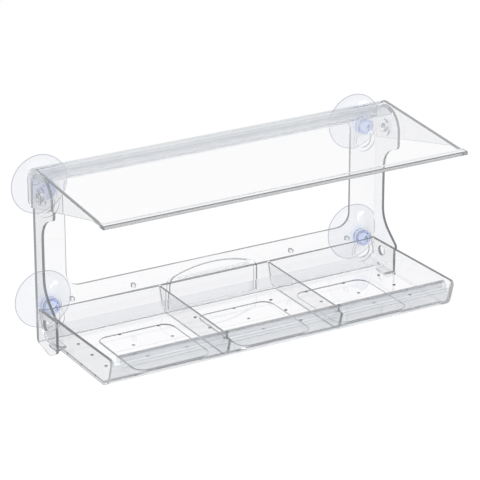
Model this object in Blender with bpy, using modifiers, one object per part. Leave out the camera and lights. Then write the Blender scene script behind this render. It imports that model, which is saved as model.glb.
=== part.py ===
"""Clear moulded window bird feeder: back frame, tilting roof, slide-out seed tray and suction cups.

Metres, +Z up. The origin lies on the window pane, in the middle of the four suction cups.
+X is to the right for someone who looks at the feeder from the garden side, and -Y points away
from the pane.
"""

import math

import bmesh
import bpy
from mathutils import Matrix, Vector

# Suction cups, which set the pane and the four seats
CUP_INSET = 0.0155
CUP_SPACING_Z = 0.116
CUP_RADIUS = 0.029
CUP_EDGE = 0.0009
CUP_SEAL = 0.0022
CUP_HOLLOW = 0.0026
CUP_COLLAR_RADIUS = 0.008
CUP_COLLAR = 0.0035
DOME_SHARES = (0.05, 0.19, 0.33, 0.48, 0.62, 0.76, 0.9)
DOME_FLARE_SHARE = 1.75
NECK_RADIUS = 0.00545
HEAD_RADIUS = 0.008
HEAD_THICKNESS = 0.0034
HEAD_ROUNDING = 0.0008
HEAD_DISH_RADIUS = 0.0034
HEAD_DISH = 0.0015

# Clearances and overlaps
GAP = 0.0003
HEAD_PLAY = 0.0005
ROOF_SIDE_GAP = 0.0005
ROOF_REAR_GAP = 0.0007
ROOF_TOP_GAP = 0.0005
TRAY_SIDE_GAP = 0.0004
TRAY_TO_PLATE = 0.0029
SINK = 0.0012
OVERRUN = 0.010

# Back frame
FRAME_WIDTH = 0.376
FRAME_WALL = 0.0026
PLATE_THICKNESS = 0.0028
STAND_OFF = 0.0178
FOOT_BELOW_CUP = 0.0333
FOOT_RADIUS = 0.004
CROWN_RADIUS = 0.019
FLANGE_DEPTH = 0.0312
EAR_RADIUS = 0.0225
EAR_BELOW_HINGE = 0.0158
EAR_CORNER_RADIUS = 0.005
WAIST_DEPTH = 0.0167
WAIST_TOP_BELOW_HINGE = 0.0263
WAIST_TOP_RADIUS = 0.024
WAIST_LOW_ABOVE_CUP = 0.0227
WAIST_LOW_RADIUS = 0.030
ARM_DEPTH = 0.0417
ARM_TOP_ABOVE_CUP = 0.0017
ARM_TOP_RADIUS = 0.003
ARM_TOE_BELOW_CUP = 0.0308
ARM_TOE_RADIUS = 0.005
ARM_KEEL_DEPTH = 0.0272
ARM_KEEL_BELOW_CUP = 0.0388
ARM_KEEL_RADIUS = 0.010
ARM_HOLE_RADIUS = 0.0052
ARM_HOLE_DEPTH = 0.0197
ARM_HOLE_BELOW_CUP = 0.0103
OPENING_SIDE = 0.0315
OPENING_LOW_ABOVE_CUP = 0.0157
OPENING_HIGH_ABOVE_CUP = 0.0077
OPENING_LOW_RADIUS = 0.014
OPENING_HIGH_RADIUS = 0.008

# Keyholes that take the heads of the suction cups
KEYHOLE_DROP = 0.0138
KEYHOLE_RIM = 0.0039
SEAT_RIM = 0.002
KEYHOLE_RECESS = 0.0012

# Hinge of the roof
HINGE_TO_PLATE = 0.0197
HINGE_ABOVE_CUP = 0.002
PIN_RADIUS = 0.004
PIN_HEAD_RADIUS = 0.007
PIN_HEAD = 0.0010
PIN_HEAD_ROUNDING = 0.0004
PIN_BARB = 0.0007
PIN_BARB_LENGTH = 0.0012
HUB_RADIUS = 0.0085
HUB_HEIGHT = 0.0015

# Roof
ROOF_WALL = 0.0026
ROOF_SLOPE = math.radians(4)
ROOF_REACH = 0.1265
ROOF_REAR_RADIUS = 0.0165
WRAP_ABOVE_HINGE = 0.014
CHEEK_BELOW_HINGE = 0.0168
CHEEK_CORNER_RADIUS = 0.006
CHEEK_RISE = 0.238
CHEEK_EDGE = 0.0006
LIP_DEPTH = 0.009
LIP_HEIGHT = 0.004
LIP_BACKSET = 0.003
LIP_RADIUS = 0.0015
LIP_OVERHANG = 0.0006

# Tray
RIM_BELOW_CUP = 0.0003
TRAY_HEIGHT = 0.026
TRAY_DEPTH = 0.1405
TRAY_WALL = 0.0026
END_WALL = 0.003
REAR_DRAFT = 0.008
FRONT_DRAFT = 0.007
FRONT_WALL_DROP = 0.004
REAR_LOW_RADIUS = 0.015
FRONT_LOW_RADIUS = 0.014
END_PROUD = 0.0005
END_RISE = 0.003
END_FRONT_PROUD = 0.001
END_REAR_DRAFT = 0.0094
END_FRONT_DRAFT = 0.0082
END_CORNER_RADIUS = 0.004

# Perch rolled along the front rim
PERCH_DEPTH = 0.0096
PERCH_OVERHANG = 0.0013
PERCH_ABOVE_RIM = 0.0046
PERCH_WALL = 0.0022
PERCH_RADIUS = 0.0046
PERCH_FRONT_DROP = 0.006
PERCH_REAR_DROP = 0.004
PERCH_END_GAP = 0.007

# Dividers, which sit in shallow grooves of the tray
DIVIDER_SPACING = 0.1208
DIVIDER_THICKNESS = 0.002
DIVIDER_DROP = 0.001
GROOVE_DEPTH = 0.0008

# Drain holes and the pans under the floor
DRAIN_RADIUS = 0.0015
DRAIN_PITCH_X = 0.0412
DRAIN_PITCH_Y = 0.028
DRAIN_COLUMNS = 9
DRAIN_ROWS = 3
DRAIN_SETBACK = 0.0394
PAN_PITCH = 0.1085
PAN_WIDTH = 0.075
PAN_LENGTH = 0.081
PAN_SETBACK = 0.038
PAN_RADIUS = 0.010
PAN_DEPTH = 0.001
PAN_FLARE = 0.0022
PAN_COUNT = 3

# Latch tongue in the lower rail of the frame
LATCH_WIDTH = 0.0934
LATCH_SLOT = 0.0033
LATCH_ARCH_GAP = 0.001
LATCH_CREST_ABOVE_RIM = 0.0094
LATCH_CROWN_RADIUS = 0.126
LATCH_SHOULDER_RADIUS = 0.012
LATCH_SEAT_SHOULDER_RADIUS = 0.009
LATCH_ROOT_BELOW_CUP = 0.0305
RIDGE_WIDTH = 0.078
RIDGE_HEIGHT = 0.0016
RIDGE_REACH = 0.0044
RIDGE_RADIUS = 0.0005

# Pegs and ledges of the frame that hold the tray
PEG_WIDTH = 0.0032
PEG_HEIGHT = 0.004
PEG_REACH = 0.0048
PEG_RADIUS = 0.0008
PEG_ABOVE_RIM = 0.0022
PEG_SPACINGS = (0.1748, 0.3050)
LEDGE_THICKNESS = 0.0026
LEDGE_REACH = 0.0104
LEDGE_LENGTH = 0.016
LEDGE_SETBACK = 0.0015
LEDGE_RADIUS = 0.0008

# Smoothness of arcs and turned shapes
ARC_STEP = math.radians(7.5)
CROWN_STEPS = 16
CUP_STEPS = 40
PIN_STEPS = 32
HOLE_STEPS = 16
SMOOTH_ANGLE = math.radians(30)
WELD = 1e-7

# Places that follow from the sizes above
UPPER_CUP_Z = CUP_SPACING_Z / 2
LOWER_CUP_Z = -CUP_SPACING_Z / 2
PLATE_REAR = -STAND_OFF
PLATE_FRONT = PLATE_REAR - PLATE_THICKNESS
FRAME_HALF = FRAME_WIDTH / 2
CUP_ACROSS = FRAME_HALF - CUP_INSET
FRAME_INNER_HALF = FRAME_HALF - FRAME_WALL
HINGE_Y = PLATE_REAR - HINGE_TO_PLATE
HINGE_Z = UPPER_CUP_Z + HINGE_ABOVE_CUP
CROWN_Z = HINGE_Z + EAR_RADIUS
EAR_FRONT = HINGE_Y - EAR_RADIUS
ARM_FRONT = PLATE_REAR - ARM_DEPTH
RIM_Z = LOWER_CUP_Z - RIM_BELOW_CUP
TRAY_LOW = RIM_Z - TRAY_HEIGHT
TRAY_REAR = PLATE_FRONT - TRAY_TO_PLATE
TRAY_FRONT = TRAY_REAR - TRAY_DEPTH
TRAY_HALF = FRAME_INNER_HALF - TRAY_SIDE_GAP
TRAY_INNER_HALF = TRAY_HALF - END_WALL
PERCH_FRONT = TRAY_FRONT - PERCH_OVERHANG
PERCH_REAR = PERCH_FRONT + PERCH_DEPTH
LATCH_ROOT = LOWER_CUP_Z - LATCH_ROOT_BELOW_CUP
ROOF_INNER_HALF = FRAME_HALF + ROOF_SIDE_GAP
ROOF_HALF = ROOF_INNER_HALF + ROOF_WALL
WRAP_INNER = PLATE_REAR + ROOF_REAR_GAP
ROOF_REAR = WRAP_INNER + ROOF_WALL
ROOF_FRONT = HINGE_Y - ROOF_REACH


def arc(a, b, radius, start, end, steps):
    """Points along an arc about (a, b), from one angle to another."""
    turns = [start + (end - start) * step / steps for step in range(steps + 1)]
    return [(a + radius * math.cos(turn), b + radius * math.sin(turn)) for turn in turns]


def circle(a, b, radius, steps):
    """A ring of points about (a, b)."""
    return arc(a, b, radius, 0, 2 * math.pi, steps)[:-1]


def rounded(corners):
    """The outline through (a, b, radius) corners, each radius drawn as an arc."""
    outline = []
    count = len(corners)
    for index, (a, b, radius) in enumerate(corners):
        if radius <= 0:
            outline.append((a, b))
            continue
        here = Vector((a, b))
        before = (Vector(corners[index - 1][:2]) - here).normalized()
        after = (Vector(corners[(index + 1) % count][:2]) - here).normalized()
        turn = math.pi - before.angle(after)
        start = here + before * radius * math.tan(turn / 2)
        middle = here + (before + after).normalized() * radius / math.cos(turn / 2)
        side = 1 if before.x * after.y < before.y * after.x else -1
        steps = max(2, math.ceil(turn / ARC_STEP))
        for step in range(steps + 1):
            spoke = Matrix.Rotation(side * turn * step / steps, 2) @ (start - middle)
            outline.append(tuple(middle + spoke))
    return outline


def inset(corners, depths):
    """Corners of an outline whose edges lie deeper; edge n runs from corner n to the next."""
    count = len(corners)
    edges = []
    for index in range(count):
        start = Vector(corners[index][:2])
        along = (Vector(corners[(index + 1) % count][:2]) - start).normalized()
        edges.append((start + Vector((-along.y, along.x)) * depths[index], along))
    moved = []
    for index in range(count):
        (first, along), (second, heading) = edges[index - 1], edges[index]
        across = along.x * heading.y - along.y * heading.x
        between = second - first
        point = first + along * (between.x * heading.y - between.y * heading.x) / across
        radius = corners[index][2]
        depth = min(depths[index - 1], depths[index])
        moved.append((point.x, point.y, max(radius - depth, 0) if radius else 0))
    return moved


def box_outline(low_a, low_b, high_a, high_b, radius=0):
    """A rectangle between two corners, rounded by one radius."""
    places = ((low_a, low_b), (high_a, low_b), (high_a, high_b), (low_a, high_b))
    return rounded([(a, b, radius) for a, b in places])


def keyhole(a, b, radius, half_width, drop):
    """A slot whose round top is centred on (a, b), above a circle that is lower by the drop."""
    steps = math.ceil(math.pi / ARC_STEP)
    slot = arc(a, b, half_width, 0, math.pi, steps)
    meet = math.acos(half_width / radius)
    return slot + arc(a, b - drop, radius, math.pi - meet, 2 * math.pi + meet, steps + steps)


def collection(name, hidden=False):
    """A new collection under the scene's own."""
    group = bpy.data.collections.new(name)
    group.hide_render = hidden
    bpy.context.scene.collection.children.link(group)
    return group


def clear_scene():
    """Removes whatever the scene holds at the start."""
    for thing in list(bpy.data.objects):
        bpy.data.objects.remove(thing, do_unlink=True)


def link(name, mesh, group):
    """An object for the mesh; those among the cutters are only guides."""
    thing = bpy.data.objects.new(name, mesh)
    group.objects.link(thing)
    if group.hide_render:
        thing.hide_render = True
        thing.display_type = "WIRE"
    return thing


def slab(name, outlines, low, high, axis, group):
    """Flat closed outlines, given thickness from low to high along an axis."""
    sketch = bpy.data.curves.new(name, "CURVE")
    sketch.dimensions = "2D"
    sketch.fill_mode = "BOTH"
    sketch.extrude = (high - low) / 2
    for outline in outlines:
        spline = sketch.splines.new("POLY")
        spline.points.add(len(outline) - 1)
        for point, (a, b) in zip(spline.points, outline):
            point.co = (a, b, 0, 1)
        spline.use_cyclic_u = True
    guide = bpy.data.objects.new(name, sketch)
    bpy.context.scene.collection.objects.link(guide)
    graph = bpy.context.evaluated_depsgraph_get()
    mesh = bpy.data.meshes.new_from_object(guide.evaluated_get(graph))
    bpy.data.objects.remove(guide)
    bpy.data.curves.remove(sketch)
    middle = (low + high) / 2
    facing = {
        "X": Matrix(((0, 0, 1, middle), (1, 0, 0, 0), (0, 1, 0, 0), (0, 0, 0, 1))),
        "Y": Matrix(((1, 0, 0, 0), (0, 0, -1, middle), (0, 1, 0, 0), (0, 0, 0, 1))),
        "Z": Matrix.Translation((0, 0, middle)),
    }
    mesh.transform(facing[axis])
    welded = bmesh.new()
    welded.from_mesh(mesh)
    bmesh.ops.remove_doubles(welded, verts=welded.verts, dist=WELD)
    bmesh.ops.recalc_face_normals(welded, faces=welded.faces)
    welded.to_mesh(mesh)
    welded.free()
    return link(name, mesh, group)


def flared(name, outlines, low, high, group):
    """Solids along Z between pairs of a low and a high outline with as many points each."""
    built = bmesh.new()
    for below, above in outlines:
        bottom = [built.verts.new((x, y, low)) for x, y in below]
        top = [built.verts.new((x, y, high)) for x, y in above]
        built.faces.new(bottom)
        built.faces.new(top)
        for index in range(len(bottom)):
            built.faces.new((bottom[index - 1], bottom[index], top[index], top[index - 1]))
    bmesh.ops.recalc_face_normals(built, faces=built.faces)
    mesh = bpy.data.meshes.new(name)
    built.to_mesh(mesh)
    built.free()
    return link(name, mesh, group)


def turned(name, profile, steps, facing, group):
    """A (radius, height) profile, listed down its outer side, turned about a heading."""
    mesh = bpy.data.meshes.new(name)
    points = [(radius, 0, height) for radius, height in profile]
    edges = [(index, index + 1) for index in range(len(points) - 1)]
    mesh.from_pydata(points, edges, [])
    thing = link(name, mesh, group)
    screw = thing.modifiers.new("turn", "SCREW")
    screw.steps = steps
    screw.render_steps = steps
    screw.use_merge_vertices = True
    screw.merge_threshold = WELD
    thing.rotation_euler = Vector((0, 0, 1)).rotation_difference(Vector(facing)).to_euler()
    return thing


def boolean(thing, other, operation):
    """Joins, cuts or keeps what two solids share."""
    step = thing.modifiers.new(f"{operation.lower()} {other.name}", "BOOLEAN")
    step.operation = operation
    step.object = other


def smooth_by_angle():
    """A node group that shades every face smooth and keeps edges beyond an angle sharp."""
    group = bpy.data.node_groups.new("smooth_by_angle", "GeometryNodeTree")
    group.interface.new_socket("Geometry", in_out="INPUT", socket_type="NodeSocketGeometry")
    group.interface.new_socket("Geometry", in_out="OUTPUT", socket_type="NodeSocketGeometry")
    entry = group.nodes.new("NodeGroupInput")
    faces = group.nodes.new("GeometryNodeSetShadeSmooth")
    edges = group.nodes.new("GeometryNodeSetShadeSmooth")
    edges.domain = "EDGE"
    angle = group.nodes.new("GeometryNodeInputMeshEdgeAngle")
    sharp = group.nodes.new("FunctionNodeCompare")
    sharp.operation = "GREATER_THAN"
    sharp.inputs["B"].default_value = SMOOTH_ANGLE
    leave = group.nodes.new("NodeGroupOutput")
    edges.inputs["Shade Smooth"].default_value = False
    group.links.new(entry.outputs["Geometry"], faces.inputs["Geometry"])
    group.links.new(faces.outputs["Geometry"], edges.inputs["Geometry"])
    group.links.new(angle.outputs["Unsigned Angle"], sharp.inputs["A"])
    group.links.new(sharp.outputs["Result"], edges.inputs["Selection"])
    group.links.new(edges.outputs["Geometry"], leave.inputs["Geometry"])
    return group


def plastic(thing, colour, roughness, transmission):
    """See-through moulded plastic of the object's own."""
    material = bpy.data.materials.new(f"{thing.name}_plastic")
    material.use_nodes = True
    shader = material.node_tree.nodes["Principled BSDF"]
    shader.inputs["Base Color"].default_value = (*colour, 1)
    shader.inputs["Roughness"].default_value = roughness
    shader.inputs["Metallic"].default_value = 0
    shader.inputs["Transmission Weight"].default_value = transmission
    thing.data.materials.append(material)


def hang(thing, origin, parent):
    """Moves the object's origin to a place, with its shape left where it is, under a parent."""
    place = Vector(origin)
    thing.data.transform(Matrix.Translation(-place))
    thing.location = place - (parent.matrix_world.translation if parent else Vector())
    thing.parent = parent
    bpy.context.view_layer.update()


def cup_places():
    """Name and seat of each suction cup, as seen from the garden side."""
    places = []
    for level, height in (("upper", UPPER_CUP_Z), ("lower", LOWER_CUP_Z)):
        for side, across in (("left", -CUP_ACROSS), ("right", CUP_ACROSS)):
            places.append((f"suction_cup_{level}_{side}", across, height))
    return places


def frame_silhouette():
    """The side view of the frame: foot, crown, ear, waist and arm."""
    waist = PLATE_REAR - WAIST_DEPTH
    return rounded([
        (PLATE_REAR, LOWER_CUP_Z - FOOT_BELOW_CUP, FOOT_RADIUS),
        (PLATE_REAR, CROWN_Z, CROWN_RADIUS),
        (EAR_FRONT, CROWN_Z, EAR_RADIUS),
        (EAR_FRONT, HINGE_Z - EAR_BELOW_HINGE, EAR_CORNER_RADIUS),
        (waist, HINGE_Z - WAIST_TOP_BELOW_HINGE, WAIST_TOP_RADIUS),
        (waist, LOWER_CUP_Z + WAIST_LOW_ABOVE_CUP, WAIST_LOW_RADIUS),
        (ARM_FRONT, LOWER_CUP_Z + ARM_TOP_ABOVE_CUP, ARM_TOP_RADIUS),
        (ARM_FRONT, LOWER_CUP_Z - ARM_TOE_BELOW_CUP, ARM_TOE_RADIUS),
        (PLATE_REAR - ARM_KEEL_DEPTH, LOWER_CUP_Z - ARM_KEEL_BELOW_CUP, ARM_KEEL_RADIUS),
    ])


def cut_frame_hollow(frame, cutters):
    """Leaves the plate, the two side walls and the flange along the crown."""
    inner = EAR_RADIUS - FRAME_WALL
    flange_front = PLATE_REAR - FLANGE_DEPTH
    lean = math.asin((HINGE_Y - flange_front) / inner)
    steps = math.ceil(lean / ARC_STEP)
    bend = arc(HINGE_Y, HINGE_Z, inner, math.pi / 2, math.pi / 2 + lean, steps)
    below = LOWER_CUP_Z - ARM_KEEL_BELOW_CUP - OVERRUN
    above = CROWN_Z + OVERRUN
    beyond = min(EAR_FRONT, ARM_FRONT) - OVERRUN
    hollow = rounded([
        (beyond, below, 0),
        (PLATE_FRONT, below, 0),
        (PLATE_FRONT, HINGE_Z + inner, max(CROWN_RADIUS - PLATE_THICKNESS, 0)),
        *[(y, z, 0) for y, z in bend],
        (flange_front, above, 0),
        (beyond, above, 0),
    ])
    half = FRAME_INNER_HALF
    boolean(frame, slab("frame_hollow", [hollow], -half, half, "X", cutters), "DIFFERENCE")


def tongue(half, crest, root, crown_radius, shoulder):
    """The latch from the front: straight sides, round shoulders and an arched top."""
    middle = crest - crown_radius
    across = half - shoulder
    rise = math.sqrt((crown_radius - shoulder) ** 2 - across ** 2)
    lean = math.atan2(rise, across)
    steps = math.ceil(lean / ARC_STEP)
    right = arc(across, middle + rise, shoulder, 0, lean, steps)
    crown = arc(0, middle, crown_radius, lean, math.pi - lean, CROWN_STEPS)
    left = [(-x, z) for x, z in reversed(right)]
    return [(-half, root), (half, root), *right, *crown[1:-1], *left]


def latch_seat():
    """The slots and the arched gap round the latch, with a bridge left above them."""
    half = LATCH_WIDTH / 2 + LATCH_SLOT
    crest = RIM_Z + LATCH_CREST_ABOVE_RIM + LATCH_ARCH_GAP
    crown = LATCH_CROWN_RADIUS + LATCH_ARCH_GAP
    return tongue(half, crest, LATCH_ROOT, crown, LATCH_SEAT_SHOULDER_RADIUS)


def cut_frame_openings(frame, cutters):
    """The plate's large opening, the latch seat, and the keyholes with their recesses."""
    half = FRAME_HALF - OPENING_SIDE
    low = LOWER_CUP_Z + OPENING_LOW_ABOVE_CUP
    high = UPPER_CUP_Z + OPENING_HIGH_ABOVE_CUP
    outline = rounded([
        (-half, low, OPENING_LOW_RADIUS),
        (half, low, OPENING_LOW_RADIUS),
        (half, high, OPENING_HIGH_RADIUS),
        (-half, high, OPENING_HIGH_RADIUS),
    ])
    passage = HEAD_RADIUS + HEAD_PLAY
    slot = NECK_RADIUS + GAP
    holes = [keyhole(x, z, passage, slot, KEYHOLE_DROP) for _, x, z in cup_places()]
    front, rear = PLATE_FRONT - OVERRUN, PLATE_REAR + OVERRUN
    wide, seat = passage + KEYHOLE_RIM, HEAD_RADIUS + SEAT_RIM
    recesses = [keyhole(x, z, wide, seat, KEYHOLE_DROP) for _, x, z in cup_places()]
    near, floor = PLATE_FRONT - SINK, PLATE_FRONT + KEYHOLE_RECESS
    boolean(frame, slab("keyhole_recesses", recesses, near, floor, "Y", cutters), "DIFFERENCE")
    outlines = [outline, latch_seat(), *holes]
    cutter = slab("plate_openings", outlines, front, rear, "Y", cutters)
    boolean(frame, cutter, "DIFFERENCE")


def join_hubs(frame, cutters):
    """A hub inside each ear, the hole for the hinge pin through both, and a hole in each arm."""
    hub = circle(HINGE_Y, HINGE_Z, HUB_RADIUS, PIN_STEPS)
    inner, outer = FRAME_INNER_HALF - HUB_HEIGHT, FRAME_INNER_HALF + SINK
    for low, high in ((-outer, -inner), (inner, outer)):
        boolean(frame, slab("hub", [hub], low, high, "X", cutters), "UNION")
    pin_hole = circle(HINGE_Y, HINGE_Z, PIN_RADIUS + GAP, PIN_STEPS)
    y, z = PLATE_REAR - ARM_HOLE_DEPTH, LOWER_CUP_Z - ARM_HOLE_BELOW_CUP
    arm_hole = circle(y, z, ARM_HOLE_RADIUS, PIN_STEPS)
    reach = FRAME_HALF + OVERRUN
    cutter = slab("side_holes", [pin_hole, arm_hole], -reach, reach, "X", cutters)
    boolean(frame, cutter, "DIFFERENCE")


def join_tray_holders(frame, cutters):
    """Pegs over the rear rim of the tray, and a ledge on each arm under its floor."""
    under = RIM_Z + PEG_ABOVE_RIM
    peg = box_outline(
        PLATE_FRONT - PEG_REACH, under, PLATE_FRONT + SINK, under + PEG_HEIGHT, PEG_RADIUS
    )
    for spacing in PEG_SPACINGS:
        for side in (-1, 1):
            middle = side * spacing / 2
            low, high = middle - PEG_WIDTH / 2, middle + PEG_WIDTH / 2
            boolean(frame, slab("tray_peg", [peg], low, high, "X", cutters), "UNION")
    front = ARM_FRONT + LEDGE_SETBACK
    top = TRAY_LOW - END_PROUD - GAP
    ledge = box_outline(front, top - LEDGE_THICKNESS, front + LEDGE_LENGTH, top, LEDGE_RADIUS)
    inner, outer = FRAME_INNER_HALF - LEDGE_REACH, FRAME_INNER_HALF + SINK
    for low, high in ((-outer, -inner), (inner, outer)):
        boolean(frame, slab("tray_ledge", [ledge], low, high, "X", cutters), "UNION")


def make_frame(parts, cutters):
    """One moulding: plate, side walls, crown flange, hinge hubs, pegs and ledges."""
    frame = slab("back_frame", [frame_silhouette()], -FRAME_HALF, FRAME_HALF, "X", parts)
    hang(frame, (0, 0, 0), None)
    cut_frame_hollow(frame, cutters)
    join_hubs(frame, cutters)
    join_tray_holders(frame, cutters)
    cut_frame_openings(frame, cutters)
    plastic(frame, (0.86, 0.88, 0.90), 0.05, 0.95)
    return frame


def make_latch(frame, parts, cutters):
    """The tongue in the lower rail, with a ridge that rests over the tray's rear rim."""
    crest = RIM_Z + LATCH_CREST_ABOVE_RIM
    root = LATCH_ROOT + GAP
    outline = tongue(LATCH_WIDTH / 2, crest, root, LATCH_CROWN_RADIUS, LATCH_SHOULDER_RADIUS)
    latch = slab("tray_latch", [outline], PLATE_FRONT, PLATE_REAR, "Y", parts)
    hang(latch, (0, (PLATE_FRONT + PLATE_REAR) / 2, LATCH_ROOT), frame)
    under = RIM_Z + GAP
    ridge = box_outline(
        PLATE_FRONT - RIDGE_REACH, under, PLATE_FRONT + SINK, under + RIDGE_HEIGHT, RIDGE_RADIUS
    )
    half = RIDGE_WIDTH / 2
    boolean(latch, slab("latch_ridge", [ridge], -half, half, "X", cutters), "UNION")
    plastic(latch, (0.86, 0.88, 0.90), 0.05, 0.95)


def make_pins(frame, parts):
    """A turned pin for each ear: head outside the cheek, barb inside the hub."""
    head_low = ROOF_SIDE_GAP + ROOF_WALL + GAP
    head_high = head_low + PIN_HEAD
    shaft_low = -FRAME_WALL - HUB_HEIGHT - GAP
    barb = PIN_RADIUS + PIN_BARB
    tip = shaft_low - PIN_BARB_LENGTH
    profile = [
        (0, head_high),
        (PIN_HEAD_RADIUS - PIN_HEAD_ROUNDING, head_high),
        (PIN_HEAD_RADIUS, head_high - PIN_HEAD_ROUNDING),
        (PIN_HEAD_RADIUS, head_low),
        (PIN_RADIUS, head_low),
        (PIN_RADIUS, shaft_low),
        (barb, shaft_low),
        (PIN_RADIUS - PIN_BARB, tip),
        (0, tip),
    ]
    for side, name in ((-1, "hinge_pin_left"), (1, "hinge_pin_right")):
        pin = turned(name, profile, PIN_STEPS, (side, 0, 0), parts)
        pin.location = (side * FRAME_HALF, HINGE_Y, HINGE_Z)
        pin.parent = frame
        plastic(pin, (0.84, 0.86, 0.88), 0.08, 0.9)


def sheet_underside(y):
    """Height of the roof sheet's lower face, which keeps its distance from the hinge."""
    distance = EAR_RADIUS + ROOF_TOP_GAP
    return HINGE_Z + distance / math.cos(ROOF_SLOPE) + (y - HINGE_Y) * math.tan(ROOF_SLOPE)


def sheet_top(y):
    """Height of the roof sheet's upper face."""
    return sheet_underside(y) + ROOF_WALL / math.cos(ROOF_SLOPE)


def roof_silhouette():
    """The side view of the roof: the sheet and a cheek that tapers to its front."""
    corner = HINGE_Z - CHEEK_BELOW_HINGE
    fall = sheet_underside(ROOF_REAR) - CHEEK_EDGE - corner
    tip = ROOF_REAR - fall / (CHEEK_RISE + math.tan(ROOF_SLOPE))
    return rounded([
        (ROOF_REAR, corner, CHEEK_CORNER_RADIUS),
        (ROOF_REAR, sheet_top(ROOF_REAR), ROOF_REAR_RADIUS),
        (ROOF_FRONT, sheet_top(ROOF_FRONT), 0),
        (ROOF_FRONT, sheet_underside(ROOF_FRONT) - CHEEK_EDGE, 0),
        (tip, sheet_underside(tip) - CHEEK_EDGE, 0),
    ])


def cut_roof_hollow(roof, cutters):
    """Leaves the sheet, the wrap behind the crown and the two cheeks."""
    behind = ROOF_REAR + OVERRUN
    below = HINGE_Z - CHEEK_BELOW_HINGE - OVERRUN
    beyond = ROOF_FRONT - OVERRUN
    wrap_low = HINGE_Z + WRAP_ABOVE_HINGE
    hollow = rounded([
        (behind, below, 0),
        (behind, wrap_low, 0),
        (WRAP_INNER, wrap_low, 0),
        (WRAP_INNER, sheet_underside(WRAP_INNER), max(ROOF_REAR_RADIUS - ROOF_WALL, 0)),
        (beyond, sheet_underside(beyond), 0),
        (beyond, below, 0),
    ])
    half = ROOF_INNER_HALF
    boolean(roof, slab("roof_hollow", [hollow], -half, half, "X", cutters), "DIFFERENCE")


def make_roof(frame, parts, cutters):
    """Sheet, rear wrap, two tapering cheeks and the lip along the front."""
    roof = slab("roof", [roof_silhouette()], -ROOF_HALF, ROOF_HALF, "X", parts)
    hang(roof, (0, HINGE_Y, HINGE_Z), frame)
    cut_roof_hollow(roof, cutters)
    bore = circle(HINGE_Y, HINGE_Z, PIN_RADIUS + GAP, PIN_STEPS)
    reach = ROOF_HALF + OVERRUN
    boolean(roof, slab("cheek_bores", [bore], -reach, reach, "X", cutters), "DIFFERENCE")
    rear = ROOF_FRONT + LIP_BACKSET
    top = sheet_top(ROOF_FRONT) + (LIP_HEIGHT - ROOF_WALL) / 2
    lip = box_outline(rear - LIP_DEPTH, top - LIP_HEIGHT, rear, top, LIP_RADIUS)
    span = ROOF_HALF + LIP_OVERHANG
    boolean(roof, slab("roof_lip", [lip], -span, span, "X", cutters), "UNION")
    plastic(roof, (0.95, 0.96, 0.97), 0.04, 0.97)


def trough_silhouette():
    """The side view of the tray's trough, closed across its open top."""
    return [
        (TRAY_REAR - REAR_DRAFT, TRAY_LOW, REAR_LOW_RADIUS),
        (TRAY_REAR, RIM_Z, 0),
        (TRAY_FRONT, RIM_Z - FRONT_WALL_DROP, 0),
        (TRAY_FRONT + FRONT_DRAFT, TRAY_LOW, FRONT_LOW_RADIUS),
    ]


def end_silhouette():
    """The side view of an end wall, which stands a little proud and higher at the front."""
    rear, front = PLATE_FRONT - GAP, TRAY_FRONT - END_FRONT_PROUD
    low = TRAY_LOW - END_PROUD
    return rounded([
        (rear - END_REAR_DRAFT, low, REAR_LOW_RADIUS + END_PROUD),
        (rear, RIM_Z, 0),
        (front, RIM_Z + END_RISE, END_CORNER_RADIUS),
        (front + END_FRONT_DRAFT, low, FRONT_LOW_RADIUS),
    ])


def trough_section(sunk):
    """The tray's inner section, sunk into its walls by a depth, and open above the rim."""
    wall = TRAY_WALL - sunk
    return rounded(inset(trough_silhouette(), (wall, -OVERRUN, wall, wall)))


def divider_places():
    """Name and middle of each divider."""
    return (("divider_left", -DIVIDER_SPACING / 2), ("divider_right", DIVIDER_SPACING / 2))


def cut_divider_grooves(tray, cutters):
    """Shallow grooves in the walls and the floor that locate the dividers."""
    outline = trough_section(GROOVE_DEPTH)
    half = DIVIDER_THICKNESS / 2 + GAP
    for name, middle in divider_places():
        groove = slab(f"{name}_groove", [outline], middle - half, middle + half, "X", cutters)
        boolean(tray, groove, "DIFFERENCE")


def join_perch(tray, cutters):
    """The rolled front rim: an arch whose front leg stands on the wall."""
    top = RIM_Z + PERCH_ABOVE_RIM
    foot, hem = RIM_Z - PERCH_FRONT_DROP, RIM_Z - PERCH_REAR_DROP
    front, rear = PERCH_FRONT + PERCH_WALL, PERCH_REAR - PERCH_WALL
    bend = max(PERCH_RADIUS - PERCH_WALL, 0)
    outline = rounded([
        (PERCH_REAR, hem, 0),
        (PERCH_REAR, top, PERCH_RADIUS),
        (PERCH_FRONT, top, PERCH_RADIUS),
        (PERCH_FRONT, foot, 0),
        (front, foot, 0),
        (front, top - PERCH_WALL, bend),
        (rear, top - PERCH_WALL, bend),
        (rear, hem, 0),
    ])
    half = TRAY_INNER_HALF - PERCH_END_GAP
    boolean(tray, slab("perch", [outline], -half, half, "X", cutters), "UNION")


def pan_outline(middle, growth):
    """A pan from above, grown all round."""
    rear = TRAY_REAR - PAN_SETBACK
    half = PAN_WIDTH / 2 + growth
    front = rear - PAN_LENGTH - growth
    return box_outline(middle - half, front, middle + half, rear + growth, PAN_RADIUS + growth)


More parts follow.
